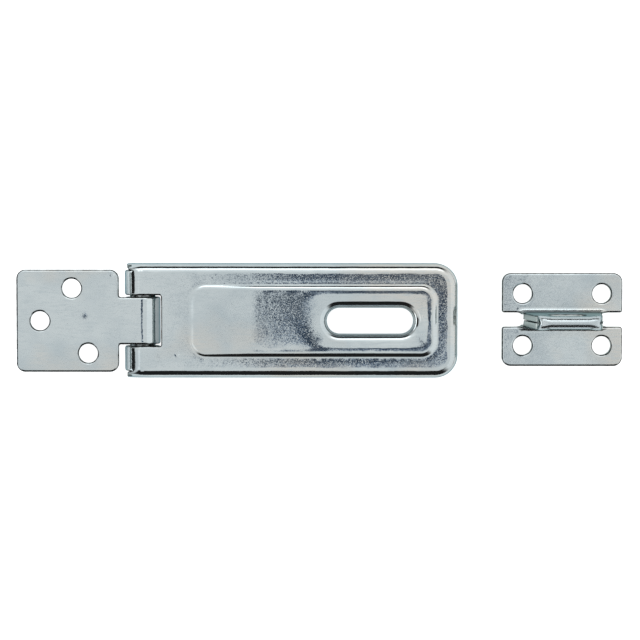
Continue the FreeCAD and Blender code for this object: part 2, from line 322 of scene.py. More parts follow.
# the thicker strip is duller where it was bent, and the drawn wire is duller all over
zincSheet = zincPlate("zincPlatedSheet", plating)
zincStrip = zincPlate("zincPlatedStrip", dict(
    plating, edgeOn="#A9BDBE", grazing="#9FB6B8", roughLow=0.1, roughHigh=0.14, workedRough=0.27,
    frostedShare=0.2))
zincEdge = shearedEdge("shearedSheetEdge", cutEdge)
zincWire = zincPlate("zincPlatedWire", dict(plating, roughLow=0.22, roughHigh=0.34))
print("materials made")


def foldTree():
    tree = bpy.data.node_groups.new("followFold", "GeometryNodeTree")
    tree.interface.new_socket("Geometry", in_out="INPUT", socket_type="NodeSocketGeometry")
    for label, kind in (("Fold Path", "Object"), ("Across", "Vector"), ("Path Start", "Float"),
                        ("Wave Height", "Float"), ("Wave Length", "Float"), ("Ripple Height", "Float"),
                        ("Ripple Length", "Float"), ("Seed", "Float"), ("Finish", "Material")):
        tree.interface.new_socket(label, in_out="INPUT", socket_type="NodeSocket" + kind)
    tree.interface.new_socket("Geometry", in_out="OUTPUT", socket_type="NodeSocketGeometry")
    given = addNode(tree, "NodeGroupInput").outputs
    place = addNode(tree, "GeometryNodeInputPosition").outputs["Position"]

    def named(label):
        node = addNode(tree, "GeometryNodeInputNamedAttribute", {"Name": label}, data_type="FLOAT")
        return node.outputs["Attribute"]

    def unevenness(length, height):
        noise = addNode(tree, "ShaderNodeTexNoise", {
            "Vector": place, "W": given["Seed"], "Scale": maths(tree, "DIVIDE", 1.0, length),
            "Detail": 1.0, "Roughness": 0.4}, noise_dimensions="4D")
        return maths(tree, "MULTIPLY", maths(tree, "SUBTRACT", noise.outputs["Fac"], 0.5), height)

    # the sheet is never quite flat, and it is rippled where the press has worked it
    wave = unevenness(given["Wave Length"], given["Wave Height"])
    ripple = unevenness(given["Ripple Length"], given["Ripple Height"])
    ripple = maths(tree, "MULTIPLY", ripple, named("worked"))
    lift = addNode(tree, "ShaderNodeCombineXYZ", {"Z": maths(tree, "ADD", wave, ripple)})
    waved = vectorMaths(tree, "ADD", place, lift.outputs[0])

    # where the path is at that length, and the sheet's way out of it
    across = given["Across"]
    along = vectorMaths(tree, "CROSS_PRODUCT", across, (0, 0, 1))
    length = maths(tree, "SUBTRACT", vectorMaths(tree, "DOT_PRODUCT", waved, along), given["Path Start"])
    path = addNode(tree, "GeometryNodeObjectInfo", {"Object": given["Fold Path"]})
    sample = addNode(tree, "GeometryNodeSampleCurve", {
        "Curves": path.outputs["Geometry"], "Length": length}, mode="LENGTH", use_all_curves=True).outputs
    outward = vectorMaths(tree, "CROSS_PRODUCT", sample["Tangent"], across)
    high = addNode(tree, "ShaderNodeSeparateXYZ", {"Vector": waved}).outputs["Z"]
    onPath = vectorMaths(tree, "ADD", sample["Position"], vectorMaths(tree, "SCALE", outward, high))
    sideways = vectorMaths(tree, "SCALE", across, vectorMaths(tree, "DOT_PRODUCT", waved, across))
    curled = vectorMaths(tree, "ADD", onPath, sideways)

    # parts of the blank that stay as pressed have a curl of 0
    part = vectorMaths(tree, "SCALE", vectorMaths(tree, "SUBTRACT", curled, waved), named("curl"))
    moved = addNode(tree, "GeometryNodeSetPosition", {
        "Geometry": given["Geometry"], "Position": vectorMaths(tree, "ADD", waved, part)})
    real = addNode(tree, "GeometryNodeRealizeInstances", {"Geometry": moved.outputs["Geometry"]})
    dressed = addNode(tree, "GeometryNodeSetMaterial", {
        "Geometry": real.outputs["Geometry"], "Material": given["Finish"]})
    addNode(tree, "NodeGroupOutput", {"Geometry": dressed.outputs["Geometry"]})
    return tree


followFold = foldTree()


def foldPath(name, points):
    # a fold line as a curve the tree can sample
    curve = bpy.data.curves.new(name, "CURVE")
    curve.dimensions = "3D"
    line = curve.splines.new("POLY")
    line.points.add(len(points) - 1)
    for point, place in zip(line.points, points):
        point.co = (*place, 1)
    path = bpy.data.objects.new(name, curve)
    bpy.context.scene.collection.objects.link(path)
    return path


def thickened(name, skin, sizes):
    # both faces of the sheet and the blanked edge between them, rolled over where the punch went in
    count = len(skin.vertices)
    outer = np.array([v.co for v in skin.vertices])
    normal = np.array([v.vector for v in skin.vertex_normals])
    depth, worked = np.zeros(count, np.float32), np.zeros(count, np.float32)
    skin.attributes["edgeDepth"].data.foreach_get("value", depth)
    skin.attributes["worked"].data.foreach_get("value", worked)

    def fall(radius, height, start=0.0):
        # may start with a crease, then steepens to the edge
        share = np.maximum(1 - depth / radius, 0)
        return height * (start * share + (1 - start) * (1 - np.sqrt(np.maximum(1 - share ** 2, 0))))

    rolled = fall(sizes["edgeRound"], sizes["edgeRound"] * sizes["edgeFall"], sizes["crease"])
    top = outer - normal * rolled[:, None]
    bottom = outer - normal * (sizes["sheet"] - fall(sizes["burr"], sizes["burr"]))[:, None]
    faces = [tuple(p.vertices) for p in skin.polygons]
    used = dict.fromkeys(pair for face in faces for pair in zip(face, face[1:] + face[:1]))
    rim = [(b, a, a + count, b + count) for a, b in used if (b, a) not in used]
    mesh = bpy.data.meshes.new(name)
    mesh.from_pydata(np.vstack([top, bottom]).tolist(), [],
                     faces + [tuple(v + count for v in reversed(face)) for face in faces] + rim)
    mesh.polygons.foreach_set("material_index", [0] * (2 * len(faces)) + [1] * len(rim))
    for label, values in (("edgeDepth", depth), ("burnish", worked)):
        attribute = mesh.attributes.new(label, "FLOAT", "POINT")
        attribute.data.foreach_set("value", np.concatenate([values, values]))
    mesh.update()
    return mesh


def formedPiece(name, mesh, curl, worked, path, settings, finish):
    # curls the blank, gives it thickness and rounded blanking edges, and returns a plain mesh object
    for label, values in (("curl", curl), ("worked", worked)):
        attribute = mesh.attributes.new(label, "FLOAT", "POINT")
        attribute.data.foreach_set("value", values)
    work = bpy.data.objects.new(name + "Work", mesh)
    bpy.context.scene.collection.objects.link(work)
    fold = work.modifiers.new("fold", "NODES")
    fold.node_group = followFold
    values = {**settings["fold"], "Fold Path": path, "Finish": finish}
    for item in followFold.interface.items_tree:
        if item.in_out == "INPUT" and item.name in values:
            fold[item.identifier] = values[item.name]
    graph = bpy.context.evaluated_depsgraph_get()
    skin = bpy.data.meshes.new_from_object(work.evaluated_get(graph), depsgraph=graph)
    bpy.data.objects.remove(work)
    bpy.data.objects.remove(path)
    result = thickened(name, skin, settings)
    result.materials.append(finish)
    result.materials.append(zincEdge)
    result.transform(Matrix.Scale(mm, 4))
    result.shade_smooth()
    result.set_sharp_from_angle(angle=math.radians(sharpAngle))
    piece = bpy.data.objects.new(name, result)
    bpy.context.scene.collection.objects.link(piece)
    return piece


def dented(x, y, dents):
    # how deep the knocks of use go at a place
    return sum(depth * math.exp(-((x - dx) ** 2 + (y - dy) ** 2) / size ** 2)
               for dx, dy, size, depth in dents)


def dentFill(dents, rings=(0.4, 0.8, 1.2, 1.7), count=10):
    # rings of extra points, so that each knock has a shape
    points = []
    for x, y, size, _ in dents:
        points.append((x, y))
        for share in rings:
            points += circle(x, y, size * share, count)
    return points


leaf = {
    "sheet": 1.25, "edgeRound": 0.5, "edgeFall": 0.7, "crease": 0.35, "burr": 0.1,
    "reach": 32.6, "half": 13.35, "shoulder": 5.9, "corner": 2.3, "tongueHalf": 6.15, "tongueCorner": 0.6,
    "holeRadius": 2.5, "holes": [(-13.9, -8.5), (-18.2, 8.5), (-26.5, 0.0)],
    # the mesh's spacing along the edges, along the roll's rows and on the flat, the first row, how far
    # the flat's points stay from the edges and the tongue, and where the roll starts to be worked
    "edgeStep": 1.2, "rowStep": 1.3, "flatStep": 0.8, "firstRow": 0.35,
    "edgeClear": 0.6, "tongueClear": 0.4, "rollWorked": (-1.0, 1.0),
    # each knock: its place, its size and its depth
    "dents": [(-13.4, 1.5, 1.8, 0.11), (-7.4, 11.9, 0.35, 0.1)],
    "fold": {"Across": (0, 1, 0), "Wave Height": 0.05, "Wave Length": 22.0,
             "Ripple Height": 0.06, "Ripple Length": 3.5, "Seed": 3.0},
}


def makeLeaf(s):
    wrap = hinge["barrel"] * math.radians(hinge["wrap"])
    half, tongue = s["half"], s["tongueHalf"]
    side = [(-s["reach"], -half, s["corner"]), (-s["shoulder"], -half, s["corner"]),
            (-s["shoulder"], -tongue, s["tongueCorner"]), (wrap, -tongue, 0)]
    corners = side + [(x, -y, r) for x, y, r in reversed(side)]
    edge = divided(roundedOutline(corners), s["edgeStep"])
    holes = [circle(x, y, s["holeRadius"]) for x, y in s["holes"]]
    step = hinge["barrel"] * math.radians(hinge["rollStep"])
    rows = [(divided([(x, -tongue), (x, tongue)], s["rowStep"], closed=False), False)
            for x in [k * step for k in range(int(wrap / step))] + [-s["firstRow"]]]
    clear, near = s["edgeClear"], s["tongueClear"]
    fill = [(x, y) for x, y in grid(-s["reach"] + clear, 0, -half + clear, half - clear, s["flatStep"])
            if abs(y) < tongue - near or x < -s["shoulder"] - near]
    mesh = blankMesh("leafBlank", edge, holes, rows, fill + dentFill(s["dents"]), s["edgeRound"])
    curl = [1.0] * len(mesh.vertices)
    worked = [smooth(*s["rollWorked"], v.co.x) for v in mesh.vertices]
    for v in mesh.vertices:
        v.co.z -= dented(v.co.x, v.co.y, s["dents"])
        v.co.x += hinge["x"]
    start = hinge["x"] - s["reach"] - pathSpare
    line = [(start, 0, hinge["top"])]
    line += [(x, 0, z) for x, z in arc((hinge["x"], hinge["z"]), hinge["barrel"], 90,
                                       90 - hinge["wrap"] - hinge["spareTurn"], hinge["pathStep"])]
    s["fold"]["Path Start"] = start
    return formedPiece("hingeLeaf", mesh, curl, worked, foldPath("leafFold", line), s, zincSheet)


leafPiece = makeLeaf(leaf)
print("leaf made:", len(leafPiece.data.polygons), "faces")


strap = {
    "sheet": 1.25, "edgeRound": 0.45, "edgeFall": 0.7, "crease": 0.35, "burr": 0.1,
    "reach": 82.7, "half": 15.0, "corner": 5.9, "rimBend": 2.6,
    "windowEnd": 5.15, "windowCorner": 0.5, "knuckleInner": 6.7, "knuckleOuter": 13.2, "slit": 2.9,
    "rimEnd": 4.1, "rimEndCorner": 1.5, "tabTop": 2.5, "tabCorner": 0.4, "knuckleBlend": 1.2,
    "panelStart": 12.8, "panelEnd": 77.1, "panelHalf": 9.3, "panelCorner": 4.1, "panelRise": 0.6,
    "panelSlope": 41.0, "crownBend": 1.9, "footBend": 0.3, "rampFoot": 0.07, "ramp": 9.0,
    "rampBlend": 5.0, "slotCentre": 59.7, "slotHalf": 11.3, "slotWide": 3.375, "lipBend": 2.4,
    "lipDepth": 3.0,
    # the panel's top falls towards the pin, in degrees, and dishes form where a bend pulls on a flat
    "pinwardFall": 1.1, "fallEnd": 29.4, "fallSoft": 0.8,
    "panelDish": 0.05, "panelDishReach": 1.5, "panelDishEdge": 1.7, "panelDishEnd": (40.0, 46.0),
    "lipDish": 0.2, "lipDishMargin": 2.35, "lipDishSoft": 0.15, "lipDishPinward": 3.8, "lipDishTail": 6.5,
    "lipDishLeast": 0.05,
    "ringDish": 0.045, "ringDishReach": 0.6, "ringDishFrom": 0.2, "ringDishEdge": 0.3, "ringDishEnd": 4.0,
    # how much the press has worked the sheet, across each bend
    "crownWorked": 0.5, "crownWorkedIn": (-0.6, 0.2), "crownWorkedOut": (2.8, 2.0),
    "rimWorked": (-0.6, 0.6), "lipWorked": (-0.8, 0.4), "rollWorked": (0.0, -1.0),
    # the mesh's spacing along the edges, along the rows, on the flats and from a crease to the next row,
    # in degrees round its corners and the slot, and how far the flats' points stay from bends and slot
    "edgeStep": 1.3, "rowStep": 0.9, "flatStep": 0.65, "creaseRow": 0.35, "cornerTurn": 6.0,
    "slotTurn": 7.5, "clearFrom": (0.8, 0.5), "clearTo": 0.4, "lipClear": 2.6,
    # and its rows over the rim's bend and the crown, down the rim, over the foot and the lip
    "bendRows": 10, "wallRows": 6, "footRows": 4, "lipRows": 12,
    "dents": [(9.5, -8.9, 0.32, 0.09), (5.2, -9.6, 0.9, 0.02), (0.4, 8.0, 0.4, 0.03)],
    "fold": {"Across": (0, 1, 0), "Wave Height": 0.04, "Wave Length": 26.0,
             "Ripple Height": 0.12, "Ripple Length": 4.2, "Seed": 8.0},
}


def rimOffset(x, y, s):
    # distance beyond the line where the rim starts to bend, and the way out there
    core = s["corner"] - s["rimBend"]
    cornerX = s["reach"] - s["corner"]
    cornerY = s["half"] - s["corner"]
    side = math.copysign(1, y)
    if x > cornerX and abs(y) > cornerY:
        spoke = Vector((x - cornerX, abs(y) - cornerY))
        out = spoke.normalized()
        return spoke.length - core, Vector((out.x, out.y * side))
    if x > cornerX:
        return x - cornerX - core, Vector((1, 0))
    return abs(y) - cornerY - core, Vector((0, side))


def boxInset(x, y, x0, x1, half, corner):
    # distance inside a rounded rectangle
    qx = abs(x - (x0 + x1) / 2) - ((x1 - x0) / 2 - corner)
    qy = abs(y) - (half - corner)
    outside = math.hypot(max(qx, 0), max(qy, 0))
    return corner - outside - min(max(qx, qy), 0)


def panelBends(s):
    # the slope of the panel's side, how far out its foot starts, and how far in its crown ends
    slope = math.radians(s["panelSlope"])
    footReach = s["footBend"] * math.tan(slope / 2)
    crownIn = s["panelRise"] / math.tan(slope) + s["crownBend"] * math.tan(slope / 2)
    return slope, footReach, crownIn


def panelSide(inset, s):
    # the panel's side: foot round, slope, crown round
    slope, footReach, crownIn = panelBends(s)
    footOut = s["footBend"] * math.sin(slope) - footReach
    crownOut = crownIn - s["crownBend"] * math.sin(slope)
    if inset <= -footReach:
        return 0.0
    if inset < footOut:
        return s["footBend"] - math.sqrt(s["footBend"] ** 2 - (inset + footReach) ** 2)
    if inset < crownOut:
        return inset * math.tan(slope)
    if inset < crownIn:
        return s["panelRise"] - s["crownBend"] + math.sqrt(s["crownBend"] ** 2 - (crownIn - inset) ** 2)
    return s["panelRise"]


def rampTop(x, s):
    # at the pin end the panel starts with a gentle ramp
    return s["rampFoot"] + math.tan(math.radians(s["ramp"])) * max(x - s["panelStart"], 0)


def panelHeight(x, inset, s):
    # the side is low over the ramp and grows round the corners, and the top falls a little pinward
    down, soft = s["fallEnd"] - x, s["fallSoft"]
    fallen = 0.0 if down < -soft else down if down > soft else (down + soft) ** 2 / (4 * soft)
    share = 1 - math.tan(math.radians(s["pinwardFall"])) * fallen / s["panelRise"]
    side = panelSide(inset, s) * share
    power = s["rampBlend"]
    return side / (1 + (side / rampTop(x, s)) ** power) ** (1 / power)


def lipDish(away, way, inset, s):
    # the drawn lip pulls the sheet down round it, out to the panel's margin, and more gently pinward
    away = max(away, 0)
    soft = s["lipDishSoft"]
    reach = away + max(inset - s["lipDishMargin"], s["lipDishLeast"])
    share = away / min(reach, s["lipDishPinward"])
    if share >= 1 + soft:
        fall = 0.0
    elif share <= 1 - soft:
        fall = 1 - share
    else:
        fall = (1 + soft - share) ** 2 / (4 * soft)
    tail = max(1 - away / s["lipDishTail"], 0) ** 2
    pinward = max(-way.x, 0) ** 2
    return s["lipDish"] * (fall + (tail - fall) * pinward)


def pressed(x, y, s):
    # where the press puts a point of the flat blank, measured from the strap's top face
    z = 0.0
    out, way = rimOffset(x, y, s)
    if out > 0:
        turn = min(out / s["rimBend"], math.pi / 2)
        straight = max(out - s["rimBend"] * math.pi / 2, 0)
        x += way.x * (s["rimBend"] * math.sin(turn) - out)
        y += way.y * (s["rimBend"] * math.sin(turn) - out)
        z = -s["rimBend"] * (1 - math.cos(turn)) - straight
    inset = boxInset(x, y, s["panelStart"], s["panelEnd"], s["panelHalf"], s["panelCorner"])
    z += panelHeight(x, inset, s)
    # the sheet is drawn a little where a bend pulls on it, so the flats are slightly pillowed
    if inset > 0:
        pillow = s["panelDish"] * (1 - smooth(*s["panelDishEnd"], x))
        edge = s["panelDishEdge"]
        z -= pillow * math.exp(-max(inset - edge, 0) / s["panelDishReach"]) * smooth(0, edge, inset)
    elif inset > -s["ringDishEnd"]:
        pull = min(1, rampTop(x, s) / s["panelRise"])
        fade = math.exp(-max(-inset - s["ringDishFrom"], 0) / s["ringDishReach"])
        z -= pull * s["ringDish"] * fade * smooth(0, s["ringDishEdge"], -inset)
    run = s["slotHalf"] - s["slotWide"]
    nearest = Vector((min(max(x, s["slotCentre"] - run), s["slotCentre"] + run), 0))
    spoke = Vector((x, y)) - nearest
    ring = s["slotWide"] + s["lipBend"]
    inward = ring - spoke.length
    way = spoke.normalized()
    if inset > 0:
        z -= lipDish(-inward, way, inset, s)
    if inward > 0:
        turn = min(inward / s["lipBend"], math.pi / 2)
        straight = max(inward - s["lipBend"] * math.pi / 2, 0)
        formed = ring - s["lipBend"] * math.sin(turn)
        x, y = nearest + way * formed
        z -= s["lipBend"] * (1 - math.cos(turn)) + straight
    crown = s["crownWorked"] * smooth(*s["crownWorkedIn"], inset) * smooth(*s["crownWorkedOut"], inset)
    worked = max(smooth(*s["rimWorked"], out), crown, smooth(*s["lipWorked"], inward))
    return x, y, z, worked


def rimRow(out, x0, s):
    # an open line at one distance beyond the bend line, round three sides
    y = s["half"] - s["rimBend"] + out
    x = s["reach"] - s["rimBend"] + out
    corner = s["corner"] - s["rimBend"] + out
    corners = [(x0, -y, 0), (x, -y, corner), (x, y, corner), (x0, y, 0)]
    return divided(roundedOutline(corners, s["cornerTurn"]), s["rowStep"], closed=False)


def boxRow(inset, s):
    # a closed line at one distance inside the panel's outline
    x0, x1 = s["panelStart"] + inset, s["panelEnd"] - inset
    half, corner = s["panelHalf"] - inset, s["panelCorner"] - inset
    corners = [(x0, -half, corner), (x1, -half, corner), (x1, half, corner), (x0, half, corner)]
    return divided(roundedOutline(corners, s["cornerTurn"]), s["rowStep"])


def slotRow(inward, s):
    # a closed line round the slot, at one distance along the sheet into its lip
    radius = s["slotWide"] + s["lipBend"] - inward
    run = s["slotHalf"] - s["slotWide"]
    right = arc((s["slotCentre"] + run, 0), radius, -90, 90, s["slotTurn"])
    left = arc((s["slotCentre"] - run, 0), radius, 90, 270, s["slotTurn"])
    return divided(right + left, s["rowStep"])


def makeStrap(s):
    wrap = hinge["barrel"] * math.radians(hinge["wrap"])
    quarter = s["rimBend"] * math.pi / 2
    rimTotal = quarter + hinge["top"] - s["rimBend"]
    rimY = s["half"] - s["rimBend"] + rimTotal
    rimX = s["reach"] - s["rimBend"] + rimTotal
    rimR = s["corner"] - s["rimBend"] + rimTotal
    tabY = s["half"] - s["rimBend"] + s["tabTop"]
    inner, outer = s["knuckleInner"], s["knuckleOuter"]
    half = [
        (s["windowEnd"], inner, s["windowCorner"]), (-wrap, inner, 0), (-wrap, outer, 0),
        (-s["slit"], outer, 0), (-s["slit"], tabY, 0), (-s["rimEnd"], tabY, s["tabCorner"]),
        (-s["rimEnd"], rimY, s["rimEndCorner"]), (rimX, rimY, rimR),
    ]
    corners = half + [(x, -y, r) for x, y, r in reversed(half)]
    edge = divided(roundedOutline(corners, s["cornerTurn"]), s["edgeStep"])
    lipQuarter = s["lipBend"] * math.pi / 2
    holes = [slotRow(lipQuarter + s["lipDepth"] - s["lipBend"], s)]

    # rows across each bend, and one just outside it, so that the mesh follows it
    rows = []
    bends, walls, feet, lips = s["bendRows"], s["wallRows"], s["footRows"], s["lipRows"]
    for k in (-0.9, *range(bends + 1)):
        out = quarter * k / bends
        rows.append((rimRow(out, -s["slit"] if out < s["tabTop"] else -s["rimEnd"], s), False))
    for k in range(1, walls):
        rows.append((rimRow(quarter + (rimTotal - quarter) * k / walls, -s["rimEnd"], s), False))
    slope, footReach, crownIn = panelBends(s)
    near = s["creaseRow"]
    insets = [-footReach - near]
    insets += [s["footBend"] * math.sin(slope * k / feet) - footReach for k in range(feet + 1)]
    insets += [crownIn - s["crownBend"] * math.sin(slope * (1 - k / bends)) for k in range(bends + 1)]
    insets += [crownIn + near] + [s["lipDishMargin"] + k for k in (-near, 0, near)]
    rows += [(boxRow(inset, s), True) for inset in insets]
    rows += [(slotRow(lipQuarter * k / lips, s), True) for k in (-1, *range(lips + 1))]
    rows += [(slotRow(lipQuarter + (s["lipDepth"] - s["lipBend"]) * k / 3, s), True) for k in (1, 2)]
    step = hinge["barrel"] * math.radians(hinge["rollStep"])
    for side in (-1, 1):
        for k in range(int(wrap / step)):
            line = [(-k * step, side * inner), (-k * step, side * outer)]
            rows.append((divided(line, s["edgeStep"], closed=False), False))
    (x0, y0), end, clear = s["clearFrom"], s["clearTo"], s["lipClear"]
    wide = s["slotWide"] + clear
    fill = [p for p in grid(x0, s["reach"] - s["rimBend"] - end, -s["half"] + s["rimBend"] + y0,
                            s["half"] - s["rimBend"] - end, s["flatStep"])
            if boxInset(*p, s["slotCentre"] - s["slotHalf"] - clear,
                        s["slotCentre"] + s["slotHalf"] + clear, wide, wide) < 0]
    mesh = blankMesh("strapBlank", edge, holes, rows, fill + dentFill(s["dents"]), s["edgeRound"])
    curl, worked = [], []
    for v in mesh.vertices:
        bx, by = v.co.x, v.co.y
        x, y, z, press = pressed(bx, by, s)
        z -= dented(bx, by, s["dents"])
        worked.append(max(press, smooth(*s["rollWorked"], bx)))
        # the knuckles curl, and the rims stay as pressed, with their ends lower, as the roll is
        share = 1 - smooth(outer, outer + s["knuckleBlend"], abs(by))
        if bx < 0:
            drop = hinge["barrel"] - math.sqrt(hinge["barrel"] ** 2 - min(-bx, s["rimEnd"]) ** 2)
            tabZ = z - drop * (1 + z / hinge["top"])
            knuckleZ = z * (1 - smooth(0, s["slit"], -bx))
            z = knuckleZ * share + tabZ * (1 - share)
        elif abs(by) > s["half"] - s["rimBend"]:
            share = 0.0
        curl.append(share)
        v.co = (x + hinge["x"], y, z + (1 - share) * hinge["top"])
    start = hinge["x"] - wrap
    line = [(x, 0, z) for x, z in arc((hinge["x"], hinge["z"]), hinge["barrel"],
                                      90 + hinge["wrap"], 90, hinge["pathStep"])]
    line.append((hinge["x"] + s["reach"] + pathSpare, 0, hinge["top"]))
    s["fold"]["Path Start"] = start
    return formedPiece("hingedStrap", mesh, curl, worked, foldPath("strapFold", line), s, zincSheet)


strapPiece = makeStrap(strap)
print("strap made:", len(strapPiece.data.polygons), "faces")


staple = {
    "sheet": 1.8, "edgeRound": 0.5, "edgeFall": 0.7, "crease": 0.35, "burr": 0.12, "x": 63.7,
    "half": 15.9, "width": 12.3, "corner": 2.3, "bend": 1.45, "gap": 0.2, "height": 20.5,
    "foot": 10.3, "footCorner": 0.75, "footBlend": 1.3, "top": 8.2, "topCorner": 0.4, "endRound": 1.7,
    "notchCorner": 0.6,
    "holeX": 10.45, "holeY": 6.875, "holeRadius": 2.5,
    "eyeHalf": 4.8, "eyeLow": 9.2, "eyeHigh": 16.8, "eyeCorner": 3.4,
    "waistHalf": 6.4, "waistFlare": 0.6, "waistDepth": 0.25, "waistFrom": 13.0, "waistPress": 0.14,
    "groove": 0.3, "grooveWide": 0.45,
    # where the bar's own shape starts and is full, below the top, in shares of its half width
    "barFrom": 2.0, "barFull": 0.4,
    # how much the strip is worked, over the bar and down the loop's sides, and how far each change takes
    "barWorked": 0.2, "sideWorked": 0.5, "sideChange": 2.0, "footChange": 0.8,
    # the mesh's spacing along the edges, round the eye, along the rows, on the flats and, in degrees,
    # along the fold, and how far the flats' points and the foot's twist stay from the edges
    "edgeStep": 1.2, "eyeStep": 0.9, "rowStep": 1.1, "flatStep": 0.8, "pathStep": 3.0,
    "clearFrom": 0.6, "clearTo": 0.5, "footClear": 0.1,
    # and its points on the loop's sides, over the bar and below it, and its rows over each bend
    "barSteps": 9, "sideSteps": 12, "bendRows": 10,
    "fold": {"Across": (-1, 0, 0), "Wave Height": 0.05, "Wave Length": 18.0,
             "Ripple Height": 0.07, "Ripple Length": 2.6, "Seed": 5.0},
}


def makeStaple(s):
    face = s["gap"] / 2 + s["sheet"]
    hair = face * math.pi / 2
    bendZ = s["sheet"] + s["bend"]
    rise = s["height"] - face - bendZ
    foldStart = hair + rise
    foldEnd = foldStart + s["bend"] * math.pi / 2
    tangent = face + s["bend"]
    total = foldEnd + s["width"] - tangent

    def sideX(z):
        # half the loop's length at a height, its top corners rounded
        lean = (s["foot"] - s["top"]) / (s["height"] - bendZ)
        x = s["foot"] - lean * (z - bendZ)
        down = z - (s["height"] - s["topCorner"])
        if down > 0:
            x -= s["topCorner"] - math.sqrt(max(s["topCorner"] ** 2 - down ** 2, 0))
        return x

    def heightAt(v):
        if v < hair:
            return s["height"] - face + face * math.cos(v / face)
        return max(s["height"] - face - (v - hair), bendZ)

    over, down, bends = s["barSteps"], s["sideSteps"], s["bendRows"]
    spots = [hair * k / over for k in range(over)] + [hair + rise * k / down for k in range(down + 1)]
    flank = [(sideX(heightAt(v)), v) for v in spots]
    inner = foldEnd - s["bend"]
    plate = roundedOutline([
        (s["foot"], foldStart, 0), (s["foot"], inner, s["footCorner"]),
        (s["half"], inner, s["notchCorner"]), (s["half"], total, s["corner"]), (0, total, 0)])
    quarter = flank + plate[1:-1]
    upLeft = [(-x, v) for x, v in reversed(quarter)]
    downLeft = [(-x, -v) for x, v in quarter[1:]]
    downRight = [(x, -v) for x, v in reversed(quarter[1:])]
    edge = divided(quarter + upLeft + downLeft + downRight, s["edgeStep"])
    crown = s["height"] - face
    high, low = hair + crown - s["eyeHigh"], hair + crown - s["eyeLow"]
    holes = []
    for side in (-1, 1):
        for x in (-s["holeX"], s["holeX"]):
            holes.append(circle(x, side * (foldEnd + s["holeY"] - tangent), s["holeRadius"]))
        eye = [(x * s["eyeHalf"], side * v, s["eyeCorner"])
               for x, v in ((-1, high), (1, high), (1, low), (-1, low))]
        holes.append(divided(roundedOutline(eye), s["eyeStep"]))
    rows = []
    for side in (-1, 1):
        levels = [hair * k / bends for k in range(1, bends + 1)]
        levels += [foldStart + (foldEnd - foldStart) * k / bends for k in range(bends + 1)]
        for v in levels:
            x = sideX(heightAt(v)) if v < inner + s["footClear"] else s["foot"] + s["footBlend"]
            rows.append((divided([(-x, side * v), (x, side * v)], s["rowStep"], closed=False), False))
    crest = s["top"] - s["topCorner"]
    rows.append((divided([(-crest, 0), (crest, 0)], s["rowStep"], closed=False), False))
    fill = grid(-s["half"] + s["clearFrom"], s["half"] - s["clearTo"],
                -total + s["clearFrom"], total - s["clearTo"], s["flatStep"])
    mesh = blankMesh("stapleBlank", edge, holes, rows, fill, s["edgeRound"])
    curl, worked = [], []
    more = s["sideWorked"] - s["barWorked"]
    twist = s["foot"] - s["footClear"]
    for v in mesh.vertices:
        x, along, reach = v.co.x, v.co.y, abs(v.co.y)
        bent = smooth(foldEnd + s["footChange"], foldStart, reach)
        bent *= smooth(s["foot"] + s["footBlend"], s["foot"], abs(x))
        worked.append(bent * (s["barWorked"] + more * smooth(hair, hair + s["sideChange"], reach)))
        # beside the loop's foot the sheet twists from the bend into the flat plate
        beside = abs(x) > twist and reach > foldStart
        curl.append(0.0 if beside else 1.0)
        v.co = (x + s["x"], along, 0)
        if beside:
            share = smooth(s["foot"] + s["footBlend"], twist, abs(x))
            turn = max(foldEnd - reach, 0) / s["bend"]
            flatY = reach - foldEnd + tangent
            bentY = max(reach - foldEnd, 0) + tangent - s["bend"] * math.sin(turn)
            bentZ = bendZ - s["bend"] * math.cos(turn)
            v.co.y = math.copysign(flatY + (bentY - flatY) * share, along)
            v.co.z = s["sheet"] + (bentZ - s["sheet"]) * share
    line = [(-s["width"] - pathSpare, s["sheet"])]
    line += arc((-tangent, bendZ), s["bend"], -90, 0, s["pathStep"])
    line += arc((0, crown), face, 180, 0, s["pathStep"])
    line += arc((tangent, bendZ), s["bend"], 180, 270, s["pathStep"])
    line.append((s["width"] + pathSpare, s["sheet"]))
    s["fold"]["Path Start"] = -total - pathSpare
    path = foldPath("stapleFold", [(0, y, z) for y, z in line])
    piece = formedPiece("foldedStaple", mesh, curl, worked, path, s, zincStrip)
    for v in piece.data.vertices:
        # the bar is pressed in its middle, and its ends are rounded over, with the fold's groove in them
        x, y, z = abs(v.co.x / mm - s["x"]), v.co.y / mm, v.co.z / mm
        waist = smooth(s["waistHalf"], s["waistHalf"] - s["waistFlare"], x)
        v.co.y *= 1 - s["waistDepth"] / face * waist * smooth(s["waistFrom"], s["eyeHigh"], z)
        over = min(max(x - (s["top"] - s["endRound"]), 0), s["endRound"])
        drop = s["endRound"] - math.sqrt(s["endRound"] ** 2 - over ** 2) + s["waistPress"] * waist
        drop += (1 - waist) * s["groove"] * math.exp(-(y / s["grooveWide"]) ** 2)
        share = smooth(s["height"] - s["barFrom"] * face, s["height"] - s["barFull"] * face, z)
        v.co.z -= drop * mm * share
    return piece


staplePiece = makeStaple(staple)
print("staple made:", len(staplePiece.data.polygons), "faces")


# the pin stays as the frame has it
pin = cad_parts["hinge_pin"]
pin.data.materials.clear()
pin.data.materials.append(zincWire)

for piece, node, body in ((leafPiece, "hinge_leaf", "leaf"), (strapPiece, "hasp_strap", "strap"),
                          (staplePiece, "staple", "strap")):
    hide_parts(node)
    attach(piece, body)
print("pieces placed on the frame")


studio = {"floorHalf": 420.0, "floorDrop": 0.2, "floorColour": "#D9DBDB", "seenGlow": 0.85,
          "glossGlow": 0.45}


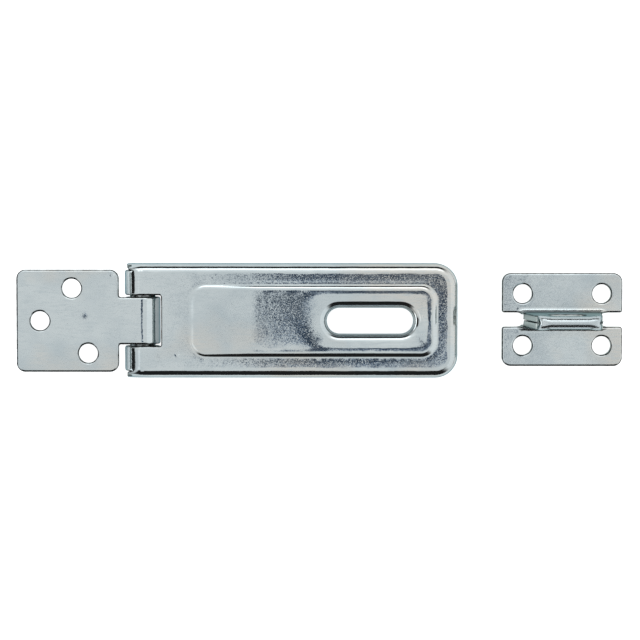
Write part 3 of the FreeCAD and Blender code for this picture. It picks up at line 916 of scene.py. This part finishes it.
def makeFloor(sizes):
    # a pale table that looks white to the camera, and still takes the object's shadow
    mesh = bpy.data.meshes.new("floor")
    r, z = sizes["floorHalf"] * mm, -sizes["floorDrop"] * mm
    mesh.from_pydata([(-r, -r, z), (r, -r, z), (r, r, z), (-r, r, z)], [], [(0, 1, 2, 3)])
    floor = bpy.data.objects.new("floor", mesh)
    bpy.context.scene.collection.objects.link(floor)
    material, tree = newMaterial("whiteTable")
    ray = addNode(tree, "ShaderNodeLightPath").outputs
    seen = maths(tree, "MULTIPLY", ray["Is Camera Ray"], sizes["seenGlow"])
    gloss = maths(tree, "MULTIPLY", ray["Is Glossy Ray"], sizes["glossGlow"])
    paper = addNode(tree, "ShaderNodeBsdfDiffuse", {"Color": hexColour(sizes["floorColour"])})
    light = addNode(tree, "ShaderNodeEmission", {"Strength": maths(tree, "ADD", seen, gloss)})
    both = addNode(tree, "ShaderNodeAddShader", {0: paper.outputs[0], 1: light.outputs[0]})
    addNode(tree, "ShaderNodeOutputMaterial", {"Surface": both.outputs[0]})
    mesh.materials.append(material)


makeFloor(studio)


studioSky = {
    "overhead": 0.97, "wall": 0.5, "wallTop": 54.0, "wallFull": 64.0, "rightWall": 1.15, "strip": 2.3,
    "glow": 1.2, "dark": 0.02,
    # what stands round the table: its light, the way it lies, where it starts and is full across that
    # way, its top and bottom in degrees from the zenith, and how soft they are
    "sides": (
        ("rightWall", "X", 0.5, 0.8, 31, 88.5, 3), ("dark", "X", 0.7, 0.9, 88.5, 95, 3),
        ("glow", "Y", 0.5, 0.85, 20, 50, 16), ("strip", "Y", 0.78, 0.93, 40, 59, 3),
        ("dark", "Y", 0.78, 0.93, 64, 86, 3), ("rightWall", "Y", 0.78, 0.93, 87, 95, 3),
        ("dark", "Y", -0.71, -0.9, 33, 96, 3),
        ("dark", "X", -0.93, -0.98, 47, 74, 3), ("strip", "X", -0.75, -0.92, 75, 100, 3)),
    # two patches overhead, each from edge to edge: where it starts, is full, starts to end and ends
    "lamp": 1.35, "lampX": (-0.52, -0.38, -0.32, -0.22), "lampY": (-0.34, -0.22, -0.1, 0.0),
    "card": 0.075, "cardColour": "#58A8F0", "cardX": (-0.038, -0.028, 0.073, 0.082),
    "cardY": (-0.09, -0.05, 0.02, 0.035), "patchesFrom": 0.5, "patchesFull": 0.6,
}


def makeWorld(sizes):
    # a wide soft box overhead, darker walls, a pale wall at the right, and the camera's own shade above
    world = bpy.data.worlds.new("softBox")
    world.use_nodes = True
    tree = world.node_tree
    tree.nodes.clear()
    way = addNode(tree, "ShaderNodeTexCoord").outputs["Generated"]
    x, y, z = addNode(tree, "ShaderNodeSeparateXYZ", {"Vector": way}).outputs

    def ramp(value, start, end):
        node = addNode(tree, "ShaderNodeMapRange", {"Value": value, "From Min": start, "From Max": end},
                       interpolation_type="SMOOTHSTEP")
        return node.outputs["Result"]

    def both(a, b, operation="MULTIPLY"):
        return maths(tree, operation, a, b)

    def height(angle):
        return math.cos(math.radians(angle))

    def band(top, bottom, soft):
        # 1 between two angles from the zenith
        return both(ramp(z, height(top - soft / 2), height(top + soft / 2)),
                    ramp(z, height(bottom + soft / 2), height(bottom - soft / 2)))

    def patch(acrossX, acrossY):
        edges = []
        for value, (start, full, fade, end) in ((x, acrossX), (y, acrossY)):
            edges.append(both(ramp(value, start, full), ramp(value, end, fade)))
        return both(both(*edges), ramp(z, sizes["patchesFrom"], sizes["patchesFull"]))

    def mixed(under, over, share):
        return addNode(tree, "ShaderNodeMix", {"Factor": share, "A": under, "B": over}).outputs["Result"]

    flatWay = addNode(tree, "ShaderNodeCombineXYZ", {"X": x, "Y": y}).outputs[0]
    heading = vectorMaths(tree, "NORMALIZE", flatWay)
    aim = addNode(tree, "ShaderNodeSeparateXYZ", {"Vector": heading}).outputs
    rising = ramp(z, height(sizes["wallFull"]), height(sizes["wallTop"]))
    level = mixed(sizes["wall"], sizes["overhead"], rising)
    for light, axis, start, full, top, bottom, soft in sizes["sides"]:
        level = mixed(level, sizes[light], both(ramp(aim[axis], start, full), band(top, bottom, soft)))
    level = mixed(level, sizes["lamp"], patch(sizes["lampX"], sizes["lampY"]))
    card = patch(sizes["cardX"], sizes["cardY"])
    level = mixed(level, sizes["card"], card)
    # the camera itself sees plain white behind the object
    seen = addNode(tree, "ShaderNodeLightPath").outputs["Is Camera Ray"]
    tint = addNode(tree, "ShaderNodeMix", {
        "Factor": card, 6: hexColour("#FFFFFF"), 7: hexColour(sizes["cardColour"])}, data_type="RGBA")
    sky = addNode(tree, "ShaderNodeBackground", {
        "Color": tint.outputs[2], "Strength": both(level, seen, "MAXIMUM")})
    addNode(tree, "ShaderNodeOutputWorld", {"Surface": sky.outputs[0]})
    bpy.context.scene.world = world


makeWorld(studioSky)

# straight above the set and a little to its +Y side, with the photo's field of view
camera = {"place": (0.21, 26.48, 537.0), "turn": (-2.8435, 0.063, 0.023), "lens": 113.93, "sensor": 36.0,
          "clipStart": 10.0}
lens = bpy.data.cameras.new("camera")
lens.lens = camera["lens"]
lens.sensor_width = camera["sensor"]
lens.sensor_fit = "HORIZONTAL"
lens.clip_start = camera["clipStart"] * mm
eye = bpy.data.objects.new("camera", lens)
eye.location = Vector(camera["place"]) * mm
eye.rotation_euler = [math.radians(angle) for angle in camera["turn"]]
bpy.context.scene.collection.objects.link(eye)
bpy.context.scene.camera = eye
bpy.context.scene.view_settings.view_transform = "Standard"
print("floor, light and camera set")
